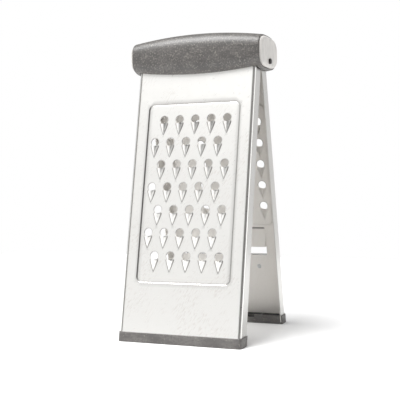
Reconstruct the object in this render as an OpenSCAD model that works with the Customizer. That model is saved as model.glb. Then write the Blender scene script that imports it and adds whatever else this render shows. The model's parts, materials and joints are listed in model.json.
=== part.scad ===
// Folding two-sided grater. The front leg is fixed in the handle and the rear leg swings on the
// hinge pin under it. Frame: +X to the right seen from the front, +Y to the rear, +Z up, origin on
// the floor midway between the feet. The open stance is drawn. Lengths are in millimetres.

/* [Stance] */
// Height of the hinge axis above the floor with the legs open
hinge_h = 243; // [235:1:252]
// Lean of each open leg from upright, in degrees
leg_tilt = 12; // [10:0.5:14]
// Gap between the folded edges of the two legs when they are shut together
fold_gap = 0.4; // [0.3:0.1:1]

/* [Panels] */
// Width of each steel panel
panel_w = 112; // [106:1:130]
// Thickness of the steel sheet
sheet_t = 0.8; // [0.6:0.1:1]
// Depth of the folded side edges
flange_d = 13.7; // [12.5:0.1:15]
// Outer radius of the folds
fold_r = 2; // [1.5:0.1:2.5]
// How far each panel runs up past the hinge axis, along the leg
panel_over = 4.5; // [4:0.1:5.5]
// Depth that the grating fields are pressed in
field_step = 0.6; // [0.3:0.1:0.7]
// Corner radius of the grating fields
field_r = 5; // [3:0.5:8]
// Distance of the grating fields below the panels' upper edges, along the leg
field_top = 43.9; // [38:0.1:50]

/* [Front teeth] */
// Distance of the front grating field from the panel's sides
front_field_side = 12.5; // [10:0.5:15]
// Rows of teeth in the front field
front_rows = 7; // [3:1:7]
// Teeth in each row of the front field
front_cols = 5; // [2:1:6]
// Spacing of the front rows, along the leg
front_row_pitch = 20.4; // [18:0.1:22]
// Distance of the lowest row's holes above the lower edge of the front field
front_first_up = 23.4; // [19:0.1:28]
// Distance of the top row's holes below the upper edge of the front field
front_last_down = 14.2; // [8:0.1:20]
// Room between the outer teeth and the sides of the front field
front_tooth_side = 5.9; // [3:0.1:9]
// Sideways offset of the front tooth pattern
front_shift = -1.9; // [-2.5:0.1:2.5]

/* [Rear teeth] */
// Distance of the rear grating field from the panel's sides
rear_field_side = 5; // [4:0.5:8]
// Rows of teeth in the rear field
rear_rows = 5; // [2:1:6]
// Columns of teeth in the rear field
rear_cols = 4; // [2:1:5]
// Spacing of the rear rows, along the leg
rear_row_pitch = 20; // [18:0.1:23]
// Distance of the lowest row's holes above the lower edge of the rear field
rear_first_up = 18.6; // [18:0.1:24]
// Distance of the top row's holes below the upper edge of the rear field
rear_last_down = 15.4; // [8:0.1:20]
// Room between the outer teeth and the sides of the rear field
rear_tooth_side = 3.8; // [2:0.1:8]

/* [Tooth shape] */
// Diameter of the hole above each tooth
hole_d = 7.4; // [6:0.1:8.2]
// Width of a tooth at its cutting lip
tooth_w = 7.2; // [6.6:0.1:9]
// Height of the cutting lip above the field
tooth_h = 2.6; // [1.8:0.1:3]
// Length of a tooth from its open end to its tip
tooth_len = 12.6; // [10:0.1:14.6]
// Thickness of the stretched metal in a tooth
tooth_t = 0.6; // [0.4:0.1:0.7]
// Distance from the centre of the hole down to the open end of the tooth
lip_drop = 3; // [2:0.1:3.4]

/* [Slicer] */
// Width of the slicing slot
slot_w = 84; // [60:1:88]
// Distance of the ramp's upper end below the rear field
ramp_below = 3.5; // [3:0.1:8]
// Height of the slot, along the leg
slot_gap = 9; // [7:0.1:10]
// Length of the pressed ramp above the slot
ramp_len = 18; // [14:0.5:20]
// Depth that the ramp is pressed in at the slot
ramp_drop = 2; // [1:0.1:2.4]
// Thickness of the slicing blade
blade_t = 0.6; // [0.4:0.1:0.8]
// Height of the cutting edge above the panel
blade_rise = 2.4; // [1.5:0.1:2.8]
// Length of the blade that lies flat on the panel
blade_flat = 8; // [7:0.5:10]
// Length of the blade from its bend to its cutting edge
blade_reach = 8; // [6:0.5:9]
// Rivets that hold the blade
rivet_count = 4; // [2:1:6]
// Diameter of a rivet's shank
rivet_d = 2.4; // [1.6:0.1:2.6]
// Diameter of a rivet's head
rivet_head_d = 4.4; // [3.6:0.1:5]

/* [Feet] */
// Height of the foot pads above the floor
foot_h = 8.4; // [7.5:0.1:11]
// Thickness of the foot pads outside the panel
pad_t = 1; // [0.6:0.1:1.6]
// Thickness of the inner wall of the foot pads
pad_wall = 1.6; // [1.2:0.1:2.2]
// Distance of the panels' lower edges from the floor, along the leg
panel_low = 4.8; // [4.6:0.1:5.2]
// Width of the dip in the inner wall of the foot pads
dip_w = 58; // [40:1:80]
// Depth of that dip
dip_h = 3; // [1:0.1:3.2]

/* [Handle] */
// How far the soft grip runs past each side of the panels
grip_over = 5; // [4:0.1:12]
// Depth of the grip at its ends, front to rear
grip_end_d = 50; // [49:0.5:54]
// Depth of the grip at its middle
grip_mid_d = 54; // [53:0.5:58]
// Height of the grip at its ends
grip_end_h = 29.8; // [29.6:0.1:33]
// Height of the grip at its middle
grip_mid_h = 39.6; // [36:0.2:40]
// Height of the grip's centre above the hinge axis
grip_rise = 8.4; // [8.2:0.1:9.8]
// How far the grip's centre sits behind the hinge axis
grip_back = 3; // [2:0.1:3.4]
// Squareness of the grip's section: 2 is an ellipse, more is squarer
grip_power = 3.2; // [2.8:0.1:3.6]
// Thickness of the grip over the core at the grip's ends
grip_t = 2.4; // [2.2:0.1:2.8]
// Corner radius of the core
core_r = 9.5; // [9:0.5:10.5]
// Thickness of the core's roof
core_t = 2.6; // [2:0.1:3.2]
// Gap between the core and the swinging leg behind it
swing_gap = 1.2; // [0.8:0.1:1.5]
// Gap between the ends of the core's stop rib and the end caps' plugs
rib_gap = 2.9; // [0.5:0.1:8]

/* [End caps] */
// Width of the dark lip of grip that shows round each end cap
cap_lip = 1.2; // [0.8:0.1:1.6]
// How far an end cap's face bulges out of the grip
cap_bulge = 3; // [1:0.1:4]
// Length of the plug that fits inside the core
plug_len = 6; // [4:0.5:9]
// Diameter of the recess round each end of the hinge pin
recess_d = 5.2; // [5.1:0.1:5.6]
// Depth of that recess from the outermost face of the cap
recess_deep = 1; // [0.6:0.1:1.4]

/* [Hinge] */
// Diameter of the hinge pin
pin_d = 3.5; // [3:0.1:3.8]
// Diameter of the pin's head
pin_head_d = 4.8; // [4.4:0.1:5]
// Thickness of the pin's head, which stands proud of the cap
pin_head_t = 2.4; // [1.6:0.1:2.6]
// Radial running clearance of the bushes on the pin
run_fit = 0.06; // [0.02:0.01:0.1]
// Wall of the flanged bushes
bush_t = 1; // [0.8:0.1:1.2]
// Length of the flanged bushes
bush_len = 3.2; // [2.4:0.1:4]
// Diameter of the bushes' flanges
bush_flange_d = 8; // [7.2:0.1:8.4]
// Outer diameter of the spacer tube round the pin
spacer_d = 6; // [5.4:0.1:6.6]
// Thickness of the washers beside the swinging leg
washer_t = 0.6; // [0.4:0.1:0.8]
// End play on each side of a washer
end_play = 0.15; // [0.1:0.05:0.3]
// Radius of the ears that the swinging leg hangs by
ear_r = 5; // [4.6:0.1:5.2]

/* [Clamp] */
// Thickness of the strip that clamps the front panel
clamp_t = 1.5; // [1:0.1:2]
// Height of the clamp strip, along the leg
clamp_h = 7; // [6:0.1:8]
// Length of the clamp strip
clamp_len = 96; // [80:1:104]
// Diameter of the clamp screws
screw_d = 3; // [2.5:0.1:3.5]
// Diameter of the clamp screws' heads
screw_head_d = 5.4; // [4.6:0.1:6]
// Thickness of the clamp screws' heads
screw_head_t = 1.8; // [1.2:0.1:2.2]
// Depth that the clamp screws reach into the core
screw_bite = 4; // [3:0.1:4.6]
// Spacing of the clamp screws
screw_pitch = 38; // [28:1:42]

/* [Hidden] */
$fn = 48;
over = 1;
seat_gap = 0.3;

// Where the hinge axis lies in a leg's own frame: across the sheet, and up along the leg
pin_in = flange_d + fold_gap / 2;
half_base = (hinge_h * sin(leg_tilt) + pin_in) / cos(leg_tilt);
pin_up = half_base * sin(leg_tilt) + hinge_h * cos(leg_tilt);
panel_high = pin_up + panel_over;
pin_r = pin_d / 2;

// The fields hang from the panels' upper edges, and are as tall as their rows of teeth need.
// The front rows are staggered by half a spacing, and so are the rear columns.
front_field_w = panel_w - 2 * front_field_side;
front_field_h = front_first_up + (front_rows - 1) * front_row_pitch + front_last_down;
front_field_low = panel_high - field_top - front_field_h;
front_col_pitch = (front_field_w - tooth_w - 2 * front_tooth_side) / (front_cols - 1 / 2);
rear_field_w = panel_w - 2 * rear_field_side;
rear_field_h = rear_first_up + (rear_rows - 1) * rear_row_pitch + rear_last_down;
rear_field_low = panel_high - field_top - rear_field_h;
rear_col_pitch = (rear_field_w - tooth_w - 2 * rear_tooth_side) / (rear_cols - 1);

// A leg's own frame: X across, Y from its outer face inwards, Z up along the leg
module front_place() {
  translate([0, -half_base, 0])
    rotate([-leg_tilt, 0, 0])
      children();
}

module rear_place() {
  mirror([0, 1, 0])
    front_place()
      children();
}

// The section of a panel: a flat back with two folded edges, its corners rounded
module fold_outline(w, d, r) {
  translate([-w / 2, r])
    square([w, d - r]);
  translate([-w / 2 + r, 0])
    square([w - 2 * r, d]);
  for (side = [-1, 1])
    translate([side * (w / 2 - r), r])
      circle(r);
}

module fold_block(w, d, r, low, high) {
  translate([0, 0, low])
    linear_extrude(high - low)
      fold_outline(w, d, r);
}

// A block with rounded corners that lies in the panel, from depth near to depth far
module field_block(w, low, h, r, near, far) {
  translate([0, far, low + h / 2])
    rotate([90, 0, 0])
      linear_extrude(far - near) {
        square([w - 2 * r, h], center = true);
        square([w, h - 2 * r], center = true);
        for (x = [-1, 1], y = [-1, 1])
          translate([x * (w / 2 - r), y * (h / 2 - r)])
            circle(r);
      }
}

// A tooth is part of a cone that rises from its tip to the cutting lip. The arc of the lip
// passes through the lip's height and width.
lip_r = (tooth_h * tooth_h + tooth_w * tooth_w / 4) / (2 * tooth_h);
lip_sink = lip_r - tooth_h;
tooth_lean = asin((lip_sink - sheet_t / 2) / tooth_len);

module tooth_cone(r) {
  length = tooth_len * r / lip_r;
  translate([0, field_step + lip_sink, -lip_drop])
    rotate([-tooth_lean, 0, 0])
      translate([0, 0, -length])
        cylinder(h = length, r1 = 0, r2 = r);
}

module tooth_outside() {
  reach = lip_r + lip_drop;
  intersection() {
    tooth_cone(lip_r);
    translate([-reach, field_step - tooth_h - over, -tooth_len - reach])
      cube([2 * reach, tooth_h + sheet_t + over, tooth_len + 2 * reach]);
  }
}

// The round hole is cut through the tooth too, so that the cutting lip follows its lower rim
module tooth_inside() {
  tooth_cone(lip_r - tooth_t);
  translate([0, field_step + sheet_t + over, 0])
    rotate([90, 0, 0])
      cylinder(h = sheet_t + tooth_h + 2 * over, d = hole_d);
}

// Rows of front teeth, every other row moved sideways by half a spacing
module front_grid() {
  for (row = [0 : front_rows - 1], col = [0 : front_cols - 1]) {
    stagger = (row % 2 == 0 ? front_col_pitch : -front_col_pitch) / 4;
    translate([front_shift + (col - (front_cols - 1) / 2) * front_col_pitch + stagger, 0,
               front_field_low + front_first_up + row * front_row_pitch])
      children();
  }
}

// Columns of rear teeth, counted from the right. Every other one has a tooth fewer and starts
// half a spacing higher.
module rear_grid() {
  for (col = [0 : rear_cols - 1], row = [0 : rear_rows - 1 - col % 2])
    translate([((rear_cols - 1) / 2 - col) * rear_col_pitch, 0,
               rear_field_low + rear_first_up + (row + col % 2 / 2) * rear_row_pitch])
      children();
}

// A folded panel with its pressed field, before anything is cut through it
module plain_panel(field_w, field_low, field_h) {
  difference() {
    union() {
      difference() {
        fold_block(panel_w, flange_d, fold_r, panel_low, panel_high);
        translate([0, sheet_t, 0])
          fold_block(panel_w - 2 * sheet_t, flange_d, fold_r - sheet_t,
                     panel_low - over, panel_high + over);
      }
      field_block(field_w + 2 * sheet_t, field_low - sheet_t, field_h + 2 * sheet_t,
                  field_r + sheet_t, 0, sheet_t + field_step);
    }
    field_block(field_w, field_low, field_h, field_r, -over, field_step);
  }
}

// The top of the front panel's folded edges is cut back to clear the rear leg's ears
trim_low = pin_up - ear_r - 2 * seat_gap;
trim_in = pin_in - ear_r - 2 * seat_gap;

module front_panel() {
  color([0.93, 0.93, 0.91])
    front_place()
      difference() {
        union() {
          plain_panel(front_field_w, front_field_low, front_field_h);
          front_grid()
            tooth_outside();
        }
        front_grid()
          tooth_inside();
        translate([-panel_w / 2 - over, trim_in, trim_low])
          cube([panel_w + 2 * over, flange_d, panel_high]);
        clamp_places()
          cylinder(h = 2 * flange_d, d = screw_d, center = true);
      }
}

// The rear panel's folded edges end in round ears that carry the bushes
bush_r = pin_r + run_fit + bush_t;
ear_mid = panel_w / 2 - sheet_t / 2;

module ear_places() {
  for (side = [-1, 1])
    translate([side * ear_mid, pin_in, pin_up])
      rotate([0, 90, 0])
        children();
}

module rear_panel() {
  color([0.93, 0.93, 0.91])
    rear_place()
      difference() {
        union() {
          plain_panel(rear_field_w, rear_field_low, rear_field_h);
          rear_grid()
            tooth_outside();
          ear_places()
            cylinder(h = sheet_t, r = ear_r, center = true);
          slicer_ramp();
        }
        rear_grid()
          tooth_inside();
        ear_places()
          cylinder(h = 2 * sheet_t, r = bush_r, center = true);
        ear_top_cut();
        slicer_cut();
        rivet_places()
          cylinder(h = 2 * flange_d, d = rivet_d, center = true);
      }
}

// Above the ears the folded edges are cut away, so that only the flat back goes on up
ear_top_in = fold_r + sheet_t;

module ear_top_cut() {
  top = pin_up + ear_r / 2;
  difference() {
    translate([-panel_w / 2 - over, ear_top_in, top])
      cube([panel_w + 2 * over, flange_d, panel_high]);
    ear_places()
      cylinder(h = 2 * sheet_t, r = ear_r, center = true);
  }
}

// The slicer: a slot with a pressed ramp above it. The ramp's sheet slopes in towards the slot.
ramp_high = rear_field_low - ramp_below;
slot_high = ramp_high - ramp_len;
slot_low = slot_high - slot_gap;

module slicer_ramp() {
  ramp_slab(slot_w, [[0, ramp_high], [ramp_drop, slot_high], [ramp_drop + sheet_t, slot_high],
                     [sheet_t, ramp_high]]);
  for (side = [-1, 1])
    translate([side * (slot_w + sheet_t) / 2, 0, 0])
      ramp_slab(sheet_t, [[0, ramp_high], [0, slot_high], [ramp_drop + sheet_t, slot_high],
                          [sheet_t, ramp_high]]);
}

module ramp_slab(w, points) {
  translate([-w / 2, 0, 0])
    rotate([90, 0, 90])
      linear_extrude(w)
        polygon(points);
}

module slicer_cut() {
  ramp_slab(slot_w, [[-over, slot_low], [2 * sheet_t, slot_low], [2 * sheet_t, slot_high],
                     [ramp_drop, slot_high], [0, ramp_high], [-over, ramp_high]]);
}

// The blade lies flat on the panel below the slot and rises to a bevelled cutting edge
blade_over = 0.8;
blade_bend = slot_low - blade_reach + blade_over;
blade_low = blade_bend - blade_flat;
edge_up = blade_bend + blade_reach;
bevel = 2 * blade_t;

module slicer_blade() {
  color([0.85, 0.86, 0.87])
    rear_place()
      difference() {
        ramp_slab(slot_w, [[0, blade_low], [0, blade_bend], [-blade_rise, edge_up],
                           [-blade_rise - blade_t, edge_up - bevel], [-blade_t, blade_bend],
                           [-blade_t, blade_low]]);
        rivet_places()
          cylinder(h = 2 * flange_d, d = rivet_d, center = true);
      }
}

module rivet_places() {
  pitch = (slot_w - 2 * blade_flat) / (rivet_count - 1);
  for (i = [0 : rivet_count - 1])
    translate([(i - (rivet_count - 1) / 2) * pitch, 0, blade_low + blade_flat / 2])
      rotate([90, 0, 0])
        children();
}

rivet_head_t = 0.8;

module blade_rivets() {
  color([0.8, 0.81, 0.82])
    rear_place()
      rivet_places() {
        translate([0, 0, -sheet_t])
          cylinder(h = sheet_t + blade_t, d = rivet_d);
        translate([0, 0, blade_t])
          cylinder(h = rivet_head_t, d1 = rivet_head_d, d2 = rivet_d);
        translate([0, 0, -sheet_t - rivet_head_t])
          cylinder(h = rivet_head_t, d1 = rivet_d, d2 = rivet_head_d);
      }
}

// Feet: a soft pad wraps the lower edge of each panel, round a stiff carrier. Pads and carriers
// are cut level with the floor in the open stance.
pocket_w = panel_w - 2 * sheet_t - 2 * pad_wall;
pocket_d = flange_d - sheet_t - pad_wall;
dip_up = (foot_h - dip_h + flange_d * sin(leg_tilt)) / cos(leg_tilt);

module floor_slab(top) {
  translate([-panel_w, -half_base - foot_h, 0])
    cube([2 * panel_w, half_base + foot_h, top]);
}

module foot_pad() {
  color([0.35, 0.34, 0.33])
    intersection() {
      front_place()
        difference() {
          translate([0, -pad_t, 0])
            fold_block(panel_w + 2 * pad_t, flange_d + pad_t, fold_r + pad_t, -foot_h, 2 * foot_h);
          difference() {
            fold_block(panel_w, flange_d + over, fold_r, panel_low, 3 * foot_h);
            translate([0, sheet_t, 0])
              fold_block(panel_w - 2 * sheet_t, flange_d, fold_r - sheet_t,
                         panel_low - over, 3 * foot_h + over);
          }
          translate([-pocket_w / 2, sheet_t, panel_low])
            cube([pocket_w, pocket_d, 3 * foot_h]);
          translate([-dip_w / 2, flange_d - 2 * pad_wall, dip_up])
            cube([dip_w, 3 * pad_wall, foot_h]);
        }
      floor_slab(foot_h);
    }
}

// The carrier is a moulded bar with pockets between its ribs
carrier_bays = 6;
carrier_rib = 2;
carrier_bay_w = (pocket_w - (carrier_bays + 1) * carrier_rib) / carrier_bays;
carrier_floor = 1.4;

module foot_carrier() {
  color([0.25, 0.25, 0.25])
    intersection() {
      front_place()
        difference() {
          translate([-pocket_w / 2, sheet_t, panel_low])
            cube([pocket_w, pocket_d, 2 * foot_h]);
          for (bay = [0 : carrier_bays - 1])
            translate([-pocket_w / 2 + carrier_rib + bay * (carrier_bay_w + carrier_rib),
                       sheet_t + carrier_rib, panel_low + carrier_floor])
              cube([carrier_bay_w, pocket_d - 2 * carrier_rib, 2 * foot_h]);
        }
      floor_slab(foot_h - seat_gap);
    }
}

module front_foot_pad() foot_pad();
module front_foot_carrier() foot_carrier();
module rear_foot_pad() mirror([0, 1, 0]) foot_pad();
module rear_foot_carrier() mirror([0, 1, 0]) foot_carrier();

// The handle's section is drawn with Y to the rear and Z up, and runs along X
grip_mid = [grip_back, hinge_h + grip_rise];
grip_half = panel_w / 2 + grip_over;
core_d = grip_end_d - 2 * grip_t;
core_h = grip_end_h - 2 * grip_t;
cap_in = panel_w / 2 + 2 * end_play + washer_t;
outline_steps = 64;

// A rounded oval of depth d and height h
function oval(d, h, power) = [
  for (i = [0 : outline_steps - 1])
    let (angle = 360 * i / outline_steps)
    let (reach = pow(pow(abs(cos(angle)), power) + pow(abs(sin(angle)), power), -1 / power))
    [grip_mid[0] + d / 2 * reach * cos(angle), grip_mid[1] + h / 2 * reach * sin(angle)]
];

module along_x(from, to) {
  translate([from, 0, 0])
    rotate([90, 0, 90])
      linear_extrude(to - from)
        children();
}

// The grip swells from its ends to its middle
grip_slices = 8;
slice_t = 0.02;
grip_edge = 0.7;

module grip_slice(x, d, h) {
  along_x(x - slice_t / 2, x + slice_t / 2)
    polygon(oval(d, h, grip_power));
}

module grip_barrel() {
  full = grip_half - grip_edge;
  hull()
    for (side = [-1, 1]) {
      for (i = [0 : grip_slices]) {
        share = i / grip_slices;
        swell_share = 1 - share * share;
        grip_slice(side * full * share,
                   grip_end_d + (grip_mid_d - grip_end_d) * swell_share,
                   grip_end_h + (grip_mid_h - grip_end_h) * swell_share);
      }
      grip_slice(side * (grip_half - slice_t / 2), grip_end_d - 2 * grip_edge,
                 grip_end_h - 2 * grip_edge);
    }
}

// The hollow that the legs run up into. Its front face lies on the front panel, and its rear
// face clears the swinging leg.
grip_low = hinge_h + grip_rise - grip_mid_h / 2;
strip_t = 1;
sweep_r = norm([pin_in + strip_t, panel_over + strip_t]);
swing_back = max(half_base - grip_low * tan(leg_tilt), sweep_r) + swing_gap;
roof = grip_mid[1] + core_h / 2 - core_t;

function front_face_y(z) = z * tan(leg_tilt) - half_base;

module hollow(low, high) {
  polygon([[front_face_y(low), low], [front_face_y(high), high], [swing_back, high],
           [swing_back, low]]);
}

module core_outline() {
  square_d = core_d - 2 * core_r;
  square_h = core_h - 2 * core_r;
  translate(grip_mid) {
    square([core_d, square_h], center = true);
    square([square_d, core_h], center = true);
    for (y = [-1, 1], z = [-1, 1])
      translate([y * square_d / 2, z * square_h / 2])
        circle(core_r);
  }
}

// The rib that the swinging leg's upper edge comes to rest against
stop_t = 3;
stop_in = sheet_t + strip_t + seat_gap;
strip_len = 2 * (cap_in - plug_len - rib_gap);

module stop_rib() {
  intersection() {
    along_x(-strip_len / 2, strip_len / 2)
      core_outline();
    rear_place()
      translate([-strip_len, stop_in, pin_up + over])
        cube([2 * strip_len, stop_t, core_h]);
  }
}

module handle_core() {
  color([0.22, 0.22, 0.22]) {
    difference() {
      along_x(-cap_in, cap_in)
        core_outline();
      along_x(-cap_in - over, cap_in + over)
        hollow(grip_low - grip_t, roof);
      front_place()
        clamp_places()
          cylinder(h = screw_bite + seat_gap, d = screw_d);
    }
    stop_rib();
  }
}

module handle_grip() {
  color([0.36, 0.35, 0.34])
    difference() {
      grip_barrel();
      along_x(-cap_in, cap_in)
        core_outline();
      along_x(-cap_in, cap_in)
        hollow(grip_low - grip_t, grip_mid[1]);
      for (side = [-1, 1])
        along_x(min(side * cap_in, side * (grip_half + over)),
                max(side * cap_in, side * (grip_half + over)))
          polygon(oval(grip_end_d - 2 * cap_lip, grip_end_h - 2 * cap_lip, grip_power));
    }
}

// An end cap plugs into the core, carries the hinge pin and bulges out of the grip
bulge_steps = 5;
pin_end = grip_half + cap_bulge - recess_deep;
leg_top = (panel_high + strip_t) * cos(leg_tilt) + strip_t * sin(leg_tilt);
plug_low = leg_top + seat_gap;
plug_front = front_face_y(roof) + seat_gap;

module cap_bulge_slices() {
  hull()
    for (i = [0 : bulge_steps]) {
      angle = 90 * i / bulge_steps;
      drop = cap_bulge * (1 - cos(angle));
      along_x(grip_half + cap_bulge * sin(angle) - slice_t, grip_half + cap_bulge * sin(angle))
        polygon(oval(grip_end_d - 2 * cap_lip - 2 * drop, grip_end_h - 2 * cap_lip - 2 * drop,
                     grip_power));
    }
}

module end_cap() {
  color([0.84, 0.84, 0.83])
    difference() {
      union() {
        along_x(cap_in, grip_half)
          polygon(oval(grip_end_d - 2 * cap_lip, grip_end_h - 2 * cap_lip, grip_power));
        cap_bulge_slices();
        translate([cap_in - plug_len, plug_front, plug_low])
          cube([plug_len + over, swing_back - seat_gap - plug_front, roof - seat_gap - plug_low]);
      }
      pin_axis(cap_in - over, grip_half + cap_bulge, pin_r + run_fit);
      pin_axis(pin_end, grip_half + cap_bulge + over, recess_d / 2);
    }
}

module end_cap_right() end_cap();
module end_cap_left() mirror([1, 0, 0]) end_cap();

// A cylinder on the hinge axis
module pin_axis(from, to, r) {
  translate([from, 0, hinge_h])
    rotate([0, 90, 0])
      cylinder(h = to - from, r = r);
}

module pin_tube(from, to, r_out, r_in) {
  difference() {
    pin_axis(from, to, r_out);
    pin_axis(from - over, to + over, r_in);
  }
}

module hinge_pin() {
  color([0.5, 0.5, 0.5]) {
    pin_axis(-pin_end - pin_head_t, pin_end, pin_r);
    pin_axis(pin_end, pin_end + pin_head_t, pin_head_d / 2);
  }
}

module pin_retainer() {
  color([0.5, 0.5, 0.5])
    pin_tube(-pin_end - pin_head_t, -pin_end, pin_head_d / 2, pin_r);
}

module hinge_spacer() {
  half = panel_w / 2 - bush_len - end_play;
  color([0.75, 0.75, 0.76])
    pin_tube(-half, half, spacer_d / 2, pin_r + run_fit);
}

module washer() {
  near = panel_w / 2 + end_play;
  color([0.9, 0.9, 0.88])
    pin_tube(near, near + washer_t, bush_flange_d / 2, pin_r + run_fit);
}

module washer_right() washer();
module washer_left() mirror([1, 0, 0]) washer();

module bush() {
  face = panel_w / 2;
  color([0.9, 0.9, 0.88]) {
    pin_tube(face - bush_len, face, bush_r, pin_r + run_fit);
    pin_tube(face - sheet_t - bush_t, face - sheet_t, bush_flange_d / 2, pin_r + run_fit);
  }
}

module bush_right() bush();
module bush_left() mirror([1, 0, 0]) bush();

// The clamp: a strip and three screws hold the front panel against the core
screw_count = 3;
clamp_up = panel_high - clamp_h / 2 - seat_gap;

module clamp_places() {
  for (i = [0 : screw_count - 1])
    translate([(i - (screw_count - 1) / 2) * screw_pitch, 0, clamp_up])
      rotate([90, 0, 0])
        children();
}

module clamp_strip() {
  color([0.7, 0.7, 0.71])
    front_place()
      difference() {
        translate([-clamp_len / 2, sheet_t, clamp_up - clamp_h / 2])
          cube([clamp_len, clamp_t, clamp_h]);
        clamp_places()
          cylinder(h = 2 * flange_d, d = screw_d, center = true);
      }
}

module clamp_screws() {
  color([0.6, 0.6, 0.61])
    front_place()
      clamp_places() {
        translate([0, 0, -sheet_t - clamp_t])
          cylinder(h = sheet_t + clamp_t + screw_bite, d = screw_d);
        translate([0, 0, -sheet_t - clamp_t - screw_head_t])
          cylinder(h = screw_head_t, d = screw_head_d);
      }
}

// A moulded strip guards the upper edge of the swinging leg
module stop_strip() {
  color([0.2, 0.2, 0.2])
    rear_place()
      difference() {
        translate([-strip_len / 2, -strip_t, panel_high - panel_over + strip_t])
          cube([strip_len, sheet_t + 2 * strip_t, panel_over]);
        translate([-strip_len, 0, 0])
          cube([2 * strip_len, sheet_t, panel_high]);
      }
}

front_panel();
front_foot_pad();
front_foot_carrier();
handle_core();
handle_grip();
end_cap_right();
end_cap_left();
hinge_pin();
pin_retainer();
hinge_spacer();
washer_right();
washer_left();
clamp_strip();
clamp_screws();
rear_panel();
bush_right();
bush_left();
stop_strip();
slicer_blade();
blade_rivets();
rear_foot_pad();
rear_foot_carrier();
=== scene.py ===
"""Finished surfaces of a folding two-sided grater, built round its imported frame."""
import json
import math

import bmesh
import bpy
from mathutils import Matrix, Vector
from mathutils.geometry import delaunay_2d_cdt

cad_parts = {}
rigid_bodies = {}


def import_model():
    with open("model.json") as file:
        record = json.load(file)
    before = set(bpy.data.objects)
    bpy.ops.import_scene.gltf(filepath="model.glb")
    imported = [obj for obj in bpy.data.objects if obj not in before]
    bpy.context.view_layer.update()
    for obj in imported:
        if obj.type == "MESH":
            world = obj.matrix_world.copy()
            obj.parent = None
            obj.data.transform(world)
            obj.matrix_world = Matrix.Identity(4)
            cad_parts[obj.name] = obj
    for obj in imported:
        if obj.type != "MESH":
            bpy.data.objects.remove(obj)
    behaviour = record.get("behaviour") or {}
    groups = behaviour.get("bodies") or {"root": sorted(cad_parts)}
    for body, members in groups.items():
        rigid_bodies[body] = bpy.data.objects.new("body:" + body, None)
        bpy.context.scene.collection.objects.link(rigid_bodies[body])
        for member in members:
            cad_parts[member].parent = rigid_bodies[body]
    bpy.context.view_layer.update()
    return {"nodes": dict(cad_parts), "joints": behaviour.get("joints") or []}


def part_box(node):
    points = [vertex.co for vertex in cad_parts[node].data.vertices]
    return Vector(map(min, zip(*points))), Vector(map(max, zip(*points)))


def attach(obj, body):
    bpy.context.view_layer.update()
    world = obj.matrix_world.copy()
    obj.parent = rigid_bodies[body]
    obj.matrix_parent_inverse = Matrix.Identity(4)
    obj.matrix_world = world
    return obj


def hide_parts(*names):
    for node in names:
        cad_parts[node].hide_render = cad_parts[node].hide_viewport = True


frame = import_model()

bl_info = {
    "name": "Folding grater",
    "version": (1, 0, 0),
    "blender": (4, 5, 0),
    "location": "3D View > Sidebar > Grater",
    "description": "Builds the finished surfaces of a folding two-sided grater",
    "category": "Object",
}

MM = 0.001
FOLD_JOINT = frame["joints"][0]
HINGE_UP = FOLD_JOINT["pos_m"][2] / MM
LEAN = math.radians(FOLD_JOINT["range_deg"][1] / 2)
FRONT_BODY = FOLD_JOINT["parent"]
REAR_BODY = FOLD_JOINT["child"]
PANEL_WIDE = (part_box("front_panel")[1].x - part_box("front_panel")[0].x) / MM
GRIP_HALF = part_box("handle_grip")[1].x / MM
GRIP_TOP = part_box("handle_grip")[1].z / MM
CAP_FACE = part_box("end_cap_right")[1].x / MM
CORE_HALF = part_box("handle_core")[1].x / MM
FINISHES = {}
CORNERS = ((1, 1), (-1, 1), (-1, -1), (1, -1))
TOOTH_TAPER = 0.9  # 1 would make a tooth's sides straight
TOOTH_ARCH = 0.7  # 0.5 would make its section an ellipse, and 1 a parabola
TOOTH_START = 0.38  # where a tooth starts to rise, as a share of its lip's distance
LINE_START = 0.6  # where its foot line starts, as the same share
NEAR = 6  # mm, more than half of any hole or tooth
PAST_TIP = 2  # mm, more than the pressed line reaches past a tooth's tip
CELL = 8  # mm, side of the squares that the holes are sorted into
LEAST = 0.3  # mm, least distance of a loose point of the mesh from another
CORNER_STEPS, EAR_STEPS, SMALL_STEPS, BUSH_STEPS, HOLE_STEPS = 7, 26, 20, 28, 44
SAME_PLACE = 2e-6  # m
FLAT_ANGLE, HARD_ANGLE = math.radians(0.8), math.radians(40)
FLOOR_HALF = 0.65  # m
SENSOR_WIDE = 36  # mm


def linear(code):
    """A six-digit sRGB hex colour as linear red, green, blue and alpha."""
    shares = [int(code[i:i + 2], 16) / 255 for i in (1, 3, 5)]
    return [c / 12.92 if c <= 0.04045 else ((c + 0.055) / 1.055) ** 2.4 for c in shares] + [1.0]


def size(name, description, default, low=0.0):
    """A length in millimetres that a user can change."""
    return bpy.props.FloatProperty(name=name, description=description, default=default, min=low,
                                   unit="NONE", subtype="DISTANCE")


def number(name, description, default):
    """A plain number that a user can change."""
    return bpy.props.FloatProperty(name=name, description=description, default=default,
                                   subtype="FACTOR")


def count(name, description, default):
    """A whole number that a user can change."""
    return bpy.props.IntProperty(name=name, description=description, default=default, min=1,
                                 subtype="UNSIGNED")


def colour(name, description, code):
    """A surface colour that a user can change."""
    return bpy.props.FloatVectorProperty(name=name, description=description, size=4, min=0, max=1,
                                         default=linear(code), subtype="COLOR")


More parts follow.
